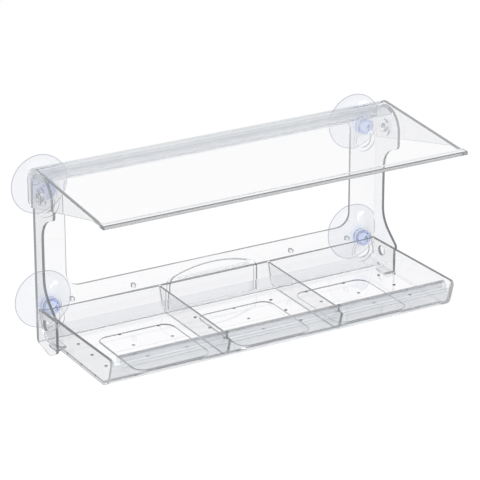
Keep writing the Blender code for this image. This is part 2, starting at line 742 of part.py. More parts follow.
def cut_floor(tray, cutters):
    """Drain holes through the floor, and shallow pans with sloping sides in its underside."""
    holes = []
    for column in range(DRAIN_COLUMNS):
        x = (column - (DRAIN_COLUMNS - 1) / 2) * DRAIN_PITCH_X
        for row in range(DRAIN_ROWS):
            y = TRAY_REAR - DRAIN_SETBACK - row * DRAIN_PITCH_Y
            holes.append(circle(x, y, DRAIN_RADIUS, HOLE_STEPS))
    pans = []
    for index in range(PAN_COUNT):
        x = (index - (PAN_COUNT - 1) / 2) * PAN_PITCH
        pans.append((pan_outline(x, PAN_FLARE + PAN_FLARE), pan_outline(x, 0)))
    mouth, ceiling = TRAY_LOW - PAN_DEPTH, TRAY_LOW + PAN_DEPTH
    boolean(tray, flared("floor_pans", pans, mouth, ceiling, cutters), "DIFFERENCE")
    low, high = TRAY_LOW - OVERRUN, TRAY_LOW + TRAY_WALL + OVERRUN
    boolean(tray, slab("drain_holes", holes, low, high, "Z", cutters), "DIFFERENCE")


def make_tray(frame, parts, cutters):
    """The seed tray, which slides out between the arms."""
    half = TRAY_HALF - END_WALL + END_PROUD
    tray = slab("seed_tray", [rounded(trough_silhouette())], -half, half, "X", parts)
    hang(tray, (0, TRAY_REAR, RIM_Z), frame)
    inner, outer = TRAY_INNER_HALF - SINK, TRAY_HALF
    for low, high in ((-outer, -inner), (inner, outer)):
        boolean(tray, slab("end_wall", [end_silhouette()], low, high, "X", cutters), "UNION")
    half = TRAY_INNER_HALF
    hollow = slab("tray_hollow", [trough_section(0)], -half, half, "X", cutters)
    boolean(tray, hollow, "DIFFERENCE")
    cut_divider_grooves(tray, cutters)
    join_perch(tray, cutters)
    cut_floor(tray, cutters)
    plastic(tray, (0.88, 0.90, 0.91), 0.05, 0.95)
    return tray


def make_dividers(tray, parts, cutters):
    """Two panels that follow the tray's section and stop short of the perch."""
    outline = trough_section(GROOVE_DEPTH - GAP)
    top = RIM_Z - DIVIDER_DROP
    under_perch = RIM_Z - PERCH_REAR_DROP - GAP
    front, rear = TRAY_FRONT - OVERRUN, TRAY_REAR + OVERRUN
    perch_rear = PERCH_REAR + GAP
    above = top + OVERRUN + OVERRUN
    trim = rounded([
        (front, under_perch, 0),
        (perch_rear, under_perch, 0),
        (perch_rear, top, 0),
        (rear, top, 0),
        (rear, above, 0),
        (front, above, 0),
    ])
    cutter = slab("divider_trim", [trim], -TRAY_HALF, TRAY_HALF, "X", cutters)
    for name, middle in divider_places():
        low, high = middle - DIVIDER_THICKNESS / 2, middle + DIVIDER_THICKNESS / 2
        divider = slab(name, [outline], low, high, "X", parts)
        hang(divider, (middle, TRAY_REAR, RIM_Z), tray)
        boolean(divider, cutter, "DIFFERENCE")
        plastic(divider, (0.90, 0.92, 0.93), 0.05, 0.95)


def cup_profile():
    """The outer side of a cup from its head down to its edge, then the hollow on the pane."""
    head_back = PLATE_THICKNESS + STAND_OFF - KEYHOLE_RECESS + GAP
    head_front = head_back + HEAD_THICKNESS
    collar_top = STAND_OFF - GAP
    collar_low = collar_top - CUP_COLLAR
    dome = []
    for share in DOME_SHARES:
        radius = CUP_COLLAR_RADIUS + (CUP_RADIUS - CUP_COLLAR_RADIUS) * share
        height = CUP_EDGE + (collar_low - CUP_EDGE) * (1 - share) ** DOME_FLARE_SHARE
        dome.append((radius, height))
    hollow_radius = CUP_RADIUS - CUP_SEAL
    return [
        (0, head_front - HEAD_DISH),
        (HEAD_DISH_RADIUS, head_front),
        (HEAD_RADIUS - HEAD_ROUNDING, head_front),
        (HEAD_RADIUS, head_front - HEAD_ROUNDING),
        (HEAD_RADIUS, head_back),
        (NECK_RADIUS, head_back),
        (NECK_RADIUS, collar_top),
        (CUP_COLLAR_RADIUS, collar_top),
        (CUP_COLLAR_RADIUS, collar_low),
        *dome,
        (CUP_RADIUS, CUP_EDGE),
        (CUP_RADIUS, 0),
        (hollow_radius, 0),
        (hollow_radius * 3 / 4, CUP_HOLLOW / 3),
        (hollow_radius / 2, CUP_HOLLOW * 3 / 4),
        (0, CUP_HOLLOW),
    ]


def make_cups(frame, parts):
    """Four suction cups whose necks hang in the keyholes."""
    for name, x, z in cup_places():
        cup = turned(name, cup_profile(), CUP_STEPS, (0, -1, 0), parts)
        cup.location = (x, 0, z)
        cup.parent = frame
        plastic(cup, (0.78, 0.85, 0.96), 0.12, 0.9)


def main():
    clear_scene()
    parts = collection("window_bird_feeder")
    cutters = collection("cutters", hidden=True)
    frame = make_frame(parts, cutters)
    make_latch(frame, parts, cutters)
    make_pins(frame, parts)
    make_roof(frame, parts, cutters)
    tray = make_tray(frame, parts, cutters)
    make_dividers(tray, parts, cutters)
    make_cups(frame, parts)
    shading = smooth_by_angle()
    for thing in parts.objects:
        thing.modifiers.new("smooth by angle", "NODES").node_group = shading


main()
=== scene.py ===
# %% [markdown]
# # A clear window bird feeder
# The feeder hangs on a window pane from four suction cups. A back frame carries a roof that
# tilts on two pins, and a seed tray that slides out between the frame's arms. Everything is
# clear moulded plastic, so the whole picture is made of edges: a flat wall shows almost nothing,
# and each rim, bend and slot shows as a grey line. The lesson rounds those edges, turns the
# round pieces, mixes the plastics, and sets a bright floor with darker sides round it.

import math

import bmesh
import bpy
from mathutils import Matrix, Vector


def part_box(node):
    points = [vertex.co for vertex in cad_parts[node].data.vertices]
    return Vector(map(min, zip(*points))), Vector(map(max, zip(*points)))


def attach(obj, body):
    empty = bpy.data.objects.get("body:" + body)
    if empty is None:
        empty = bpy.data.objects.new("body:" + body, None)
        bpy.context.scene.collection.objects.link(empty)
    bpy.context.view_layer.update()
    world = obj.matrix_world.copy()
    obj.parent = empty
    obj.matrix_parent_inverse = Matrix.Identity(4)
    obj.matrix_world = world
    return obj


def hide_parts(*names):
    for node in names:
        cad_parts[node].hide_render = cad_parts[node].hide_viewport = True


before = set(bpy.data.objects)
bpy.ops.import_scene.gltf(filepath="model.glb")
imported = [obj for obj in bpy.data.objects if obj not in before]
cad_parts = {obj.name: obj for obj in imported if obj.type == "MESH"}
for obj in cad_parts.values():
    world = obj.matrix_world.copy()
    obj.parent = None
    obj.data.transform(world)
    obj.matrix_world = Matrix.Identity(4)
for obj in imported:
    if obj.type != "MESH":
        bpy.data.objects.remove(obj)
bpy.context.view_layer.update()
MM = 0.001
print("pieces in the model:", len(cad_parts))

# %% [markdown]
# ## Clean copies of the mouldings
# A moulded edge is never knife sharp: the tool leaves a radius of a few tenths of a millimetre.
# On clear plastic that radius matters more than on any other material, because it bends the
# light away and draws the line along the edge. There are two ways to get it. The Bevel operator
# makes real faces, and suits long plain edges such as a rim. The Bevel shader node only turns
# the normals near an edge, and suits the many short edges round slots, pegs and keyholes, where
# real bevels would run into each other. This lesson uses both.
#
# Each moulding starts from a copy of its model mesh. The copy is merged, and its flat triangles
# are joined into whole faces, so that the Bevel operator finds only edges that are really there.

# %% Helpers that copy a moulding and round its edges
SHARP = math.radians(28)
FLAT = math.radians(0.4)
WELD = 0.002 * MM


def clean_copy(node):
    """A merged copy of a model piece, with each flat area as one face."""
    work = bmesh.new()
    work.from_mesh(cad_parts[node].data)
    bmesh.ops.remove_doubles(work, verts=work.verts, dist=WELD)
    bmesh.ops.dissolve_limit(work, angle_limit=FLAT, verts=work.verts, edges=work.edges,
                             delimit={"NORMAL"})
    return work


def sharp_edges(work):
    """Edges that a radius would soften."""
    return [edge for edge in work.edges if edge.is_manifold and edge.calc_face_angle() > SHARP]


def round_edges(work, edges, radius, steps):
    """Real roundings on the chosen edges."""
    bmesh.ops.bevel(work, geom=edges, offset=radius, offset_type="OFFSET", segments=steps,
                    profile=0.5, affect="EDGES", clamp_overlap=False, loop_slide=True, material=-1)


# %% [markdown]
# ## Normals that keep the view still
# What is seen through a clear wall swims if the wall's normals wander, as they do with plain
# smooth shading. Here the normals are set by a rule. A broad face keeps its own normal at every
# corner. A narrow facet of a bend takes the normal of the broad face that it runs into, or else
# the average of the facets beside it. Faces that meet at more than the sharp angle don't mix.

# %% Helpers that set the normals and make the object
BROAD = 4 * MM


def breadth(face):
    """The width of a long face, from its area and its outline."""
    return 2 * face.calc_area() / face.calc_perimeter()


def corner_normals(work):
    """One normal for each corner of each face, in the order that the mesh keeps them."""
    broad = {face for face in work.faces if breadth(face) > BROAD}
    areas = {face: face.calc_area() for face in work.faces}
    limit = math.cos(SHARP)
    normals = []
    for face in work.faces:
        for corner in face.verts:
            beside = [other for other in corner.link_faces if other.normal.dot(face.normal) > limit]
            wide = [other for other in beside if other in broad]
            if face in broad:
                normals.append(face.normal.copy())
            elif wide:
                normals.append(max(wide, key=areas.get).normal.copy())
            else:
                mixed = sum((other.normal * areas[other] for other in beside), Vector())
                normals.append(mixed.normalized() if mixed.length else face.normal.copy())
    return normals


def add_object(name, work):
    """An object at the origin for a working mesh, with its corner normals set."""
    work.normal_update()
    normals = corner_normals(work)
    mesh = bpy.data.meshes.new(name)
    work.to_mesh(mesh)
    work.free()
    mesh.shade_smooth()
    mesh.normals_split_custom_set(normals)
    thing = bpy.data.objects.new(name, mesh)
    bpy.context.scene.collection.objects.link(thing)
    print(f"{name}: {len(mesh.polygons)} faces")
    return thing


# %% [markdown]
# ## Marks on the faces
# Some faces get a painted tone. Light that enters a cut edge travels far inside the wall and
# comes out grey, which is painted here as shade on the edge's faces, and a rolled bend that
# gathers the bright room gets painted light to stay pale. A material can't tell these faces apart,
# so they are marked with a number in a face attribute, one for the painted shade and one for the
# painted light. An Attribute node reads the number later.
# Faces are found by what they are, such as narrow, upright or near an end of the piece.

# %% A helper that marks faces, and the words for their shape
LEAN = 0.3
UPRIGHT = 0.05
LEVEL = 0.97


def paint(work, name, test, amount=1.0):
    """Marks the faces that pass a test, in an attribute that a material can read."""
    layer = work.faces.layers.float.get(name) or work.faces.layers.float.new(name)
    chosen = [face for face in work.faces if test(face)]
    for face in chosen:
        face[layer] = amount
    print(f"{name}: {len(chosen)} faces marked {amount}")


def is_narrow(face):
    """True for a face about as narrow as a wall is thick."""
    return breadth(face) < BROAD


def runs_across(face):
    """True for a face whose normal hardly leans to the feeder's left or right."""
    return abs(face.normal.x) < LEAN


def is_sloping(face):
    """True for a face that is neither upright nor level."""
    return UPRIGHT < abs(face.normal.z) < LEVEL


# %% [markdown]
# ## The back frame
# The frame is one injection moulding: a plate with a large opening, a side wall at each end, a
# flange along the top, and an arm at each lower corner that holds the tray. Its many short edges
# get their softness from the shader. The front edges of the side walls are narrow faces, and
# painted shade gives them the grey of a long way through the plastic; the bend under the flange
# gets painted light, so it stays pale.

# %% Copy the frame
FRAME_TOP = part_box("back_frame")[1]
SIDE_WALL_X = FRAME_TOP.x - 8 * MM
HUB_LOW = FRAME_TOP.z - 37.5 * MM
FLANGE_LOW = FRAME_TOP.z - 16.5 * MM


def on_side_edge(face):
    """True for the narrow front and lower faces of the frame's two side walls."""
    middle = face.calc_center_bounds()
    on_side = abs(middle.x) > SIDE_WALL_X and middle.z < HUB_LOW
    return is_narrow(face) and runs_across(face) and on_side and face.normal.y < 0.1


def on_flange_bend(face):
    """True for the narrow facets of the bend along the frame's top."""
    return is_narrow(face) and runs_across(face) and face.calc_center_bounds().z > FLANGE_LOW


work = clean_copy("back_frame")
# Painted shade on the side walls' front edges, and painted light on the flange's bend.
paint(work, "painted_shade_bend", on_side_edge)
paint(work, "painted_light_bend", on_flange_bend)
back_frame = add_object("back_frame_look", work)

# %% [markdown]
# ## The latch
# The latch is a tongue cut free on three sides of the lower rail, so that it can flex. A thin
# ridge on its front gives a finger some hold. The tongue is softened by the shader like the
# frame, and the ridge is marked for painted light, which keeps it pale.

# %% Copy the latch
LATCH_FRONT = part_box("tray_latch")[1].y - 2.9 * MM


def on_finger_ridge(face):
    """True for the faces of the ridge that stands out from the latch's front."""
    return face.calc_center_bounds().y < LATCH_FRONT


work = clean_copy("tray_latch")
# Painted light on the finger ridge.
paint(work, "painted_light_bend", on_finger_ridge)
tray_latch = add_object("tray_latch_look", work)

# %% [markdown]
# ## The dividers
# The dividers are thin panels bonded into grooves of the tray. They are plain plates, so their
# edges take a real rounding of a fifth of a millimetre. Faces narrower than two radii keep their
# edges, since a rounding would swallow them. The rear and lower edges, where a panel meets the
# tray, show as its darkest lines, and they are marked for painted shade.

# %% Round the dividers
PLATE_ROUNDING = 0.22 * MM
NARROWEST = 2.2 * PLATE_ROUNDING


def on_bonded_edge(face):
    """True for a panel's rear and lower edges, which are bonded to the tray."""
    return is_narrow(face) and face.normal.z < 0.5 and face.normal.y > -0.5


def roomy_edges(work):
    """Sharp edges whose faces both have room for a small rounding."""
    return [edge for edge in sharp_edges(work) if min(map(breadth, edge.link_faces)) > NARROWEST]


def rounded_panel(node):
    """A panel whose edges are rounded, with painted shade marked on those that are bonded."""
    work = clean_copy(node)
    round_edges(work, roomy_edges(work), PLATE_ROUNDING, 2)
    work.normal_update()
    # Painted shade on the bonded edges.
    paint(work, "painted_shade_bend", on_bonded_edge)
    return add_object(f"{node}_look", work)


divider_left = rounded_panel("divider_left")
divider_right = rounded_panel("divider_right")

# %% [markdown]
# ## The roof
# The roof is a thin sheet with a wrapped rear edge and two tapering cheeks, moulded in one piece.
# Its front ends in a square lip, whose edges show as two dark lines, drawn with painted shade. The
# rolled ridge is lit from the sky behind it, and painted light keeps it paler than the cut edges.
# Both are marked for the material.

# %% Round the roof
ROOF_FRONT, ROOF_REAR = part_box("roof")
RIDGE_FRONT = ROOF_REAR.y - 32.5 * MM
RIDGE_SIDE = ROOF_REAR.x - 10.7 * MM
LIP_REAR = ROOF_FRONT.y + 20 * MM


def on_ridge(face):
    """True for the faces of the rolled rear edge, between the cheeks."""
    middle = face.calc_center_bounds()
    return middle.y > RIDGE_FRONT and abs(middle.x) < RIDGE_SIDE


def on_lip(face):
    """True for the narrow faces along the roof's front edge."""
    return is_narrow(face) and face.calc_center_bounds().y < LIP_REAR


work = clean_copy("roof")
# Painted light on the rolled ridge, and painted shade on the lip's edges.
paint(work, "painted_light_bend", on_ridge)
paint(work, "painted_shade_bend", on_lip)
round_edges(work, roomy_edges(work), PLATE_ROUNDING, 2)
roof = add_object("roof_look", work)

# %% [markdown]
# ## The tray's rims and feet
# The tray is a trough with a rolled front rim, which birds use as a perch. The tops of its rear
# and end walls are rounded at both sides, so that fingers and beaks meet no edge. Light that
# enters such a top stays between the wall's faces, and shows as a thick grey line, which painted
# shade on the tops deepens later. The long edges along the tops are found by their height and
# heading. Their rounding is real, and leaves only a narrow flat between its two sides. The feet
# of the end walls get a smaller one.

# %% Find the tray's rims and feet
TRAY_LOW, TRAY_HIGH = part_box("seed_tray")
RIM_LOW = TRAY_LOW.z + 26.35 * MM
RIM_HIGH = TRAY_LOW.z + 29.8 * MM
REAR_WALL_FRONT = TRAY_HIGH.y - 9.1 * MM
FOOT_SIDE = TRAY_HIGH.x - 0.1 * MM
FOOT_HIGH = TRAY_LOW.z + 0.3 * MM
LONG = 20 * MM
STRAIGHT = 0.99


def is_rim(edge):
    """True for the long convex edges on top of the rear and end walls."""
    first, second = (corner.co for corner in edge.verts)
    if edge.calc_length() < LONG or not edge.is_convex:
        return False
    if min(first.z, second.z) < RIM_LOW or max(first.z, second.z) > RIM_HIGH:
        return False
    along = (second - first).normalized()
    at_rear = abs(along.x) > STRAIGHT and first.y > REAR_WALL_FRONT
    return at_rear or abs(along.y) > STRAIGHT


def is_foot(edge):
    """True for the long outer edges under the end walls."""
    corners = [corner.co for corner in edge.verts]
    outside = all(abs(place.x) > FOOT_SIDE and place.z < FOOT_HIGH for place in corners)
    return outside and edge.calc_length() > LONG


# %% [markdown]
# ## The pans under the floor
# Under the tray's floor lie three shallow pans, whose sides draw soft grey frames on the floor,
# which painted shade on the sides makes darker.
# Each pan is a recess with a flat ceiling. To make the frames clearer, the ceilings are sunk a
# little further into the floor, and widened, which steepens the pans' sides. Only a ceiling's
# outline is widened, so the drain holes that run through it keep their size.

# %% A helper that deepens the pans
PAN_CEILING = TRAY_LOW.z + 1.5 * MM
PAN_EXTRA = 0.6 * MM
PAN_WIDENING = 0.03
PAN_BORDER = 60 * MM


def pan_of(corner):
    """Which pan a corner of a ceiling belongs to: left, middle or right."""
    return (corner.co.x > PAN_BORDER) - (corner.co.x < -PAN_BORDER)


def widen(ceiling):
    """Moves the corners of a ceiling's outline outwards, by a share of their distance."""
    xs = [corner.co.x for corner in ceiling]
    ys = [corner.co.y for corner in ceiling]
    middle = Vector(((min(xs) + max(xs)) / 2, (min(ys) + max(ys)) / 2, 0))
    for corner in ceiling:
        if any(is_sloping(face) for face in corner.link_faces):
            outwards = corner.co - middle
            corner.co.x += outwards.x * PAN_WIDENING
            corner.co.y += outwards.y * PAN_WIDENING


def deepen_pans(work):
    """Widens the pans' ceilings and sinks them further into the floor."""
    ceilings = {}
    for corner in work.verts:
        if abs(corner.co.z - PAN_CEILING) < 0.05 * MM:
            ceilings.setdefault(pan_of(corner), []).append(corner)
    for ceiling in ceilings.values():
        widen(ceiling)
        for corner in ceiling:
            corner.co.z += PAN_EXTRA
    print("pans deepened:", len(ceilings))


# %% [markdown]
# ## Painted shade and painted light on the tray
# Painted shade is darkest low down, on the pans' sides, the drain holes and the feet. The tops of
# the walls get a little less, and the top of the perch less still. The perch's sides and the long
# soft bends along the front and the rear would turn grey by themselves, because light runs along
# inside them, and they are marked for painted light, which keeps them pale.

# %% Tests for the tray's faces with painted shade
FLOOR_TOP = TRAY_LOW.z + 3.8 * MM
PANS_FRONT = TRAY_LOW.y + 18.8 * MM
PANS_REAR = TRAY_HIGH.y - 35.1 * MM
PANS_SIDE = TRAY_HIGH.x - 9 * MM
HOLE_FACET = 20 * MM ** 2
FOOT_ROUNDING = 0.8 * MM


def in_pan(face):
    """True for the sloping sides of the pans."""
    middle = face.calc_center_bounds()
    over_pans = PANS_FRONT < middle.y < PANS_REAR and abs(middle.x) < PANS_SIDE
    return is_narrow(face) and is_sloping(face) and over_pans and middle.z < FLOOR_TOP


def in_hole(face):
    """True for the upright facets of the drain holes in the floor."""
    middle = face.calc_center_bounds()
    upright = abs(face.normal.z) < UPRIGHT and face.calc_area() < HOLE_FACET
    return upright and middle.z < FLOOR_TOP and abs(middle.x) < PANS_SIDE


def in_foot(face):
    """True for the roundings under the end walls."""
    middle = face.calc_center_bounds()
    turned_out = 0.1 < abs(face.normal.x) < STRAIGHT and abs(middle.x) > FOOT_SIDE - FOOT_ROUNDING
    return is_narrow(face) and turned_out and middle.z < FLOOR_TOP


# %% [markdown]
# ## Finding the tops and the bends
# A wall's top and its roundings all look upwards, so their normals tell them from the walls'
# sides. The perch lies in front of a line across the tray, and the other tops lie behind it. A
# soft bend is made of long narrow facets, so a facet's area tells it from a small corner.

# %% Tests for the walls' tops, the perch and the soft bends
RIM_ROUNDING = 1.05 * MM
RIM_TURN = 0.3
PERCH_REAR = TRAY_LOW.y + 15.3 * MM
PERCH_LOW = TRAY_LOW.z + 10.8 * MM
PERCH_TURN = 0.8
BEND_HIGH = TRAY_LOW.z + 12.8 * MM
BEND_REAR = TRAY_HIGH.y - 22.1 * MM
BEND_FRONT = PANS_FRONT
BEND_FACET = 60 * MM ** 2


def on_wall_top(face):
    """True for the tops of the rear and end walls, with their roundings."""
    middle = face.calc_center_bounds()
    high = middle.z > RIM_LOW - RIM_ROUNDING and middle.y > PERCH_REAR
    return is_narrow(face) and face.normal.z > RIM_TURN and high


def on_perch_top(face):
    """True for the top of the perch."""
    middle = face.calc_center_bounds()
    high = middle.z > RIM_LOW and middle.y < PERCH_REAR
    return is_narrow(face) and face.normal.z > PERCH_TURN and high


def on_perch_side(face):
    """True for the perch's faces below its top."""
    middle = face.calc_center_bounds()
    return middle.y < PERCH_REAR and middle.z > PERCH_LOW and face.normal.z < PERCH_TURN


def in_soft_bend(face):
    """True for the long facets of the bends along the tray's front and rear."""
    middle = face.calc_center_bounds()
    at_bend = (middle.y > BEND_REAR or middle.y < BEND_FRONT) and middle.z < BEND_HIGH
    return is_narrow(face) and runs_across(face) and at_bend and face.calc_area() > BEND_FACET


# %% [markdown]
# ## Shaping and marking the tray
# The order matters. The pans come first, while the corners of each ceiling still lie in one
# plane. The rims and the feet are rounded next, and the faces are marked last, because rounding
# makes new faces. Where two marks of one kind meet on a face, the later one counts.

# %% Shape and mark the tray
# How much painted shade the tops of the walls and of the perch get.
WALL_PAINTED_SHADE = 0.92
PERCH_PAINTED_SHADE = 0.65

work = clean_copy("seed_tray")
deepen_pans(work)
work.normal_update()
rims = [edge for edge in sharp_edges(work) if is_rim(edge)]
feet = [edge for edge in sharp_edges(work) if is_foot(edge)]
round_edges(work, rims, RIM_ROUNDING, 4)
round_edges(work, feet, FOOT_ROUNDING, 3)
print("rim edges rounded:", len(rims), "and feet:", len(feet))
work.normal_update()
# Painted shade on the low faces and the tops, painted light on the perch's sides and bends.
for low in (in_pan, in_hole, in_foot):
    paint(work, "painted_shade_bend", low)
paint(work, "painted_shade_bend", on_wall_top, WALL_PAINTED_SHADE)
paint(work, "painted_shade_bend", on_perch_top, PERCH_PAINTED_SHADE)
for soft in (on_perch_side, in_soft_bend):
    paint(work, "painted_light_bend", soft)
seed_tray = add_object("seed_tray_look", work)

# %% [markdown]
# ## Turning a round piece
# A suction cup and a pin are turned: every cut through the axis looks the same. Such a piece is
# drawn as half an outline, and the Spin operator carries the outline round the axis. The Screw
# modifier could do it too, but an operator leaves a plain mesh with nothing to work out later.

# %% Helpers that turn an outline
TURN_STEPS = 128


def turned(name, outline, centre, axis, steps=TURN_STEPS):
    """A mesh from (radius, height) points in mm, turned about an axis through a centre."""
    work = bmesh.new()
    facing = Vector((0, 0, 1)).rotation_difference(Vector(axis)).to_matrix().to_4x4()
    place = Matrix.Translation(Vector(centre)) @ facing
    points = [work.verts.new(place @ Vector((r * MM, 0, h * MM))) for r, h in outline]
    edges = [work.edges.new(pair) for pair in zip(points, points[1:])]
    bmesh.ops.spin(work, geom=points + edges, cent=centre, axis=Vector(axis), steps=steps,
                   angle=2 * math.pi, use_merge=True)
    bmesh.ops.remove_doubles(work, verts=work.verts, dist=WELD)
    bmesh.ops.recalc_face_normals(work, faces=work.faces)
    return add_object(name, work)


def quarter(r, h, radius, start, end, steps=5):
    """Points of a small rounding about (r, h), between two angles in degrees."""
    turns = [math.radians(start + (end - start) * step / steps) for step in range(steps + 1)]
    return [(r + radius * math.cos(t), h + radius * math.sin(t)) for t in turns]


# %% [markdown]
# ## Suction cups
# The outline of a cup runs from the head that hooks behind the keyhole, over the collar and the
# flared dome, to the thin edge that seals on the glass. The skirt is a soft skin under two
# millimetres thick, so the hollow follows the dome. That is why the disc looks clear: a thin skin
# hardly bends the light, and only the solid hub does. The head has two fine rings, as the mould
# leaves on the real piece. They give the blue hub its concentric lines.

# %% The dome and the hollow under it
DISC_RADIUS = 29
DOME_RADIUS = 8
DOME_TOP = 14
DISC_EDGE = 0.9
FLARE = 1.75
SKIN_AT_HUB = 1.7
SKIN_AT_EDGE = 0.75
HOLLOW_WIDE = 27.8
HOLLOW_NARROW = 9.5
HOLLOW_DEPTH = 11.2


def dome_height(radius):
    """How high the dome's outer side stands over the glass, in mm, at a distance from the axis."""
    outwards = (radius - DOME_RADIUS) / (DISC_RADIUS - DOME_RADIUS)
    return DISC_EDGE + (DOME_TOP - DISC_EDGE) * (1 - outwards) ** FLARE


def dome(steps=26):
    """The flared outer side of the cup, from under the collar down to its edge."""
    reach = DISC_RADIUS - DOME_RADIUS
    radii = [DOME_RADIUS + reach * step / steps for step in range(1, steps)]
    return [(radius, dome_height(radius)) for radius in radii]


def hollow(steps=14):
    """The cup's inner side, which follows the dome and leaves a skin that thins outwards."""
    points = []
    for step in range(steps + 1):
        inwards = step / steps
        radius = HOLLOW_WIDE + (HOLLOW_NARROW - HOLLOW_WIDE) * inwards
        skin = SKIN_AT_EDGE + (SKIN_AT_HUB - SKIN_AT_EDGE) * inwards
        points.append((radius, min(dome_height(radius) - skin, HOLLOW_DEPTH)))
    return [*points, (8.2, 10.9), (6, 11.1), (3, HOLLOW_DEPTH), (0, HOLLOW_DEPTH)]


# %% [markdown]
# ## The whole outline of a cup
# The outline is a list of points, each a distance from the axis and a height over the glass in
# millimetres. It starts on the axis at the head and ends on the axis in the hollow, so the turned
# mesh is closed. The four cups sit at the corners of a rectangle round the origin.

# %% Turn the four cups
HEAD = [(0, 21.7), (1.6, 21.8), (3.0, 22.4), (3.5, 22.75), (4.0, 22.9), (4.5, 22.75),
        (5.0, 22.45), (5.5, 22.75), *quarter(7.2, 22.25, 0.75, 90, 0),
        *quarter(7.4, 20.25, 0.5, 0, -90)]
NECK_AND_COLLAR = [(5.5, 19.75), (5.45, 18.2), (5.6, 17.5), *quarter(7.4, 16.95, 0.5, 90, 0),
                   (7.9, 14.2)]
SEALING_EDGE = [*quarter(28.55, 0.45, 0.43, 60, -90), (28.2, 0.04)]
CUP_OUTLINE = [*HEAD, *NECK_AND_COLLAR, *dome(), *SEALING_EDGE, *hollow()]
CUP_LOW, CUP_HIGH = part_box("suction_cup_upper_right")
CUP_X = (CUP_LOW.x + CUP_HIGH.x) / 2
CUP_Z = (CUP_LOW.z + CUP_HIGH.z) / 2

cups = {}
for level, z in (("upper", CUP_Z), ("lower", -CUP_Z)):
    for side, x in (("left", -CUP_X), ("right", CUP_X)):
        name = f"suction_cup_{level}_{side}"
        cups[name] = turned(f"{name}_look", CUP_OUTLINE, (x, 0, z), (0, -1, 0))
print("points in the cup's outline:", len(CUP_OUTLINE))

# %% [markdown]
# ## Hinge pins
# Each pin is a snap rivet: a low domed head outside the cheek, a shaft, and a barb that springs
# open inside the hub. The pin is turned like the cups, along the hinge's own axis. The heights
# in its outline are distances from the feeder's middle.

# %% Turn the two pins
PIN_LOW, PIN_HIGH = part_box("hinge_pin_right")
HINGE_Y = (PIN_LOW.y + PIN_HIGH.y) / 2
HINGE_Z = (PIN_LOW.z + PIN_HIGH.z) / 2
PIN_OUTLINE = [
    (0, 192.35), (1.8, 192.35), (2.4, 192.1), (3.2, 192.1), (3.8, 192.38),
    *quarter(6.55, 191.95, 0.42, 80, 0),
    (6.98, 191.45), (6.9, 191.4), (4.1, 191.4), (3.98, 191.25),
    (3.98, 183.7), (4.1, 183.6), (4.6, 183.5), (4.68, 183.35), (3.3, 182.4), (0, 182.4),
]
pins = {}
for side, sign in (("left", -1), ("right", 1)):
    pins[side] = turned(f"hinge_pin_{side}_look", PIN_OUTLINE, (0, HINGE_Y, HINGE_Z),
                        (sign, 0, 0), steps=TURN_STEPS // 2)
print("points in a pin's outline:", len(PIN_OUTLINE))

# %% [markdown]
# ## Colours and a helper for nodes
# Colours are written as the eye sees them, in sRGB hex, and one function turns them into the
# linear values that a shader adds and multiplies.

# %% The two helpers
def linear(code, alpha=1.0):
    """A linear colour from an sRGB hex code."""
    values = [int(code[index:index + 2], 16) / 255 for index in (1, 3, 5)]
    curve = [v / 12.92 if v <= 0.04045 else ((v + 0.055) / 1.055) ** 2.4 for v in values]
    return (*curve, alpha)


def node(tree, kind, links=None, values=None, **settings):
    """Adds a node with its settings, constant inputs and incoming links."""
    made = tree.nodes.new(kind)
    for key, value in settings.items():
        setattr(made, key, value)
    for key, value in (values or {}).items():
        made.inputs[key].default_value = value
    for key, source in (links or {}).items():
        tree.links.new(source, made.inputs[key])
    return made


def empty_material(name):
    """A material with nothing in it but its output."""
    material = bpy.data.materials.new(name)
    material.use_nodes = True
    material.node_tree.nodes.clear()
    return material, material.node_tree


# %% [markdown]
# ## Clear acrylic
# - painted shade and painted light on the marked faces, and a painted glow where a long path ends.
# The mouldings are acrylic, pellets of PMMA melted and injected into a polished steel tool. It
# is the clearest common plastic, with an index of refraction of 1.49. What the eye gets from it:
# - the faces are almost invisible, with a slight grey where light is reflected away;
# - long paths inside the wall take a little light, so the edges look grey (Volume Absorption);
# - the melt cools unevenly, so the faces wave by some hundredths of a millimetre over a few
#   centimetres (Noise into Bump);
# - the melt also draws fine flow lines along the piece's length, a second and flatter bump;
# - handling leaves faint scuffs, which vary the roughness slightly;
# - every edge is softened by the mould (the Bevel node, which feeds the Bump node's normal).
# The next cells build these one by one, and the last mixes them for each moulding.

# %% The normal of a moulded face
EDGE_RADIUS = 0.4 * MM
BEVEL_SAMPLES = 4
FLOW_STRETCH = 0.05
FLOW_WIDTH = 7


def moulded_faces(tree, place, wave_mm, wave_depth, flow_depth, edge_radius):
    """The normal of a moulded face: softened edges, slow waves and fine flow lines."""
    wave = node(tree, "ShaderNodeTexNoise", {"Vector": place},
                {"Scale": 1 / (wave_mm * MM), "Detail": 1.0, "Roughness": 0.4})
    softened = node(tree, "ShaderNodeBevel", None, {"Radius": edge_radius}, samples=BEVEL_SAMPLES)
    waved = node(tree, "ShaderNodeBump",
                 {"Height": wave.outputs["Fac"], "Normal": softened.outputs["Normal"]},
                 {"Strength": 1.0, "Distance": wave_depth * MM})
    drawn = node(tree, "ShaderNodeMapping", {"Vector": place}, {"Scale": (FLOW_STRETCH, 1, 1)})
    flow = node(tree, "ShaderNodeTexNoise", {"Vector": drawn.outputs["Vector"]},
                {"Scale": 1 / (FLOW_WIDTH * MM), "Detail": 2.0, "Roughness": 0.5})
    return node(tree, "ShaderNodeBump",
                {"Height": flow.outputs["Fac"], "Normal": waved.outputs["Normal"]},
                {"Strength": 1.0, "Distance": flow_depth * MM})


